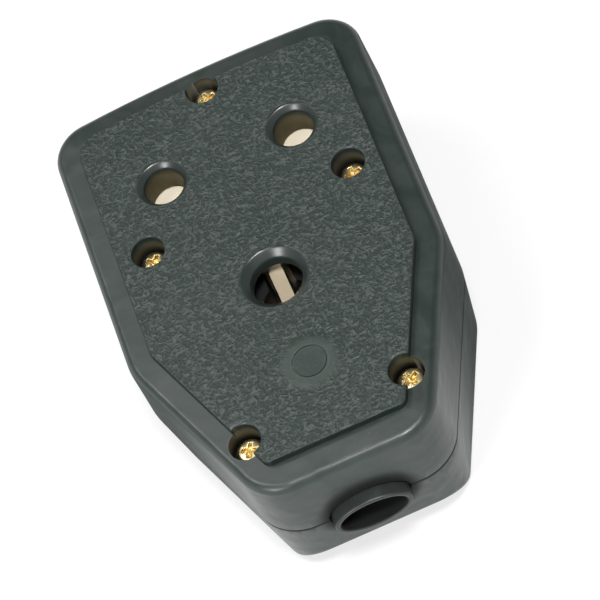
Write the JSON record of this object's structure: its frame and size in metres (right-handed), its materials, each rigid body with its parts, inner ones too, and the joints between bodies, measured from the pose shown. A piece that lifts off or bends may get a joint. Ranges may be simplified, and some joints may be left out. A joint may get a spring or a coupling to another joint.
{
  "type": "cable coupler",
  "caption": "Rubber trailing socket with a house-shaped body, grained face panel, shuttered round pin holes, sunk brass screws, a parting line and an oval cable nozzle.",
  "frame": {"origin": "middle of the footprint's bounding box, on the flat back", "axes": "+Z out of the socket face, +Y from the cable nozzle towards the live and neutral holes, +X to the right seen from the face with the nozzle below"},
  "size_m": [0.0604, 0.0938, 0.033],
  "materials": {
    "rubber": "black rubber, grained on the face panel and smooth on the rim and walls",
    "sleeve_rubber": "smooth black rubber",
    "screw_brass": "bright brass",
    "contact_brass": "plain brass",
    "shutter_plastic": "cream moulded plastic",
    "insulator": "dark moulded insulator",
    "spring_steel": "spring steel",
    "plated_steel": "zinc-plated steel",
    "clamp_plastic": "black moulded plastic"
  },
  "bodies": {
    "housing": {"front_shell": "rubber", "rear_shell": "rubber", "cord_sleeve": "sleeve_rubber", "case_screws": "screw_brass", "case_inserts": "contact_brass", "contact_base": "insulator", "contact_cover": "insulator", "live_contact": "contact_brass", "neutral_contact": "contact_brass", "earth_contact": "contact_brass", "line_bands": "spring_steel", "earth_band": "spring_steel", "shutter_spring": "spring_steel", "terminal_screws": "screw_brass", "cover_screws": "plated_steel", "clamp_screws": "plated_steel", "clamp_inserts": "contact_brass", "cord_clamp": "clamp_plastic"},
    "shutter": {"shutter": "shutter_plastic"}
  },
  "joints": [
    {"name": "shutter_slide", "type": "slide", "parent": "housing", "child": "shutter", "axis": [0, 1, 0], "range_m": [0, 0.009], "stiffness_N_per_m": 330, "springref_m": -0.009, "deforming": ["shutter_spring"]}
  ]
}
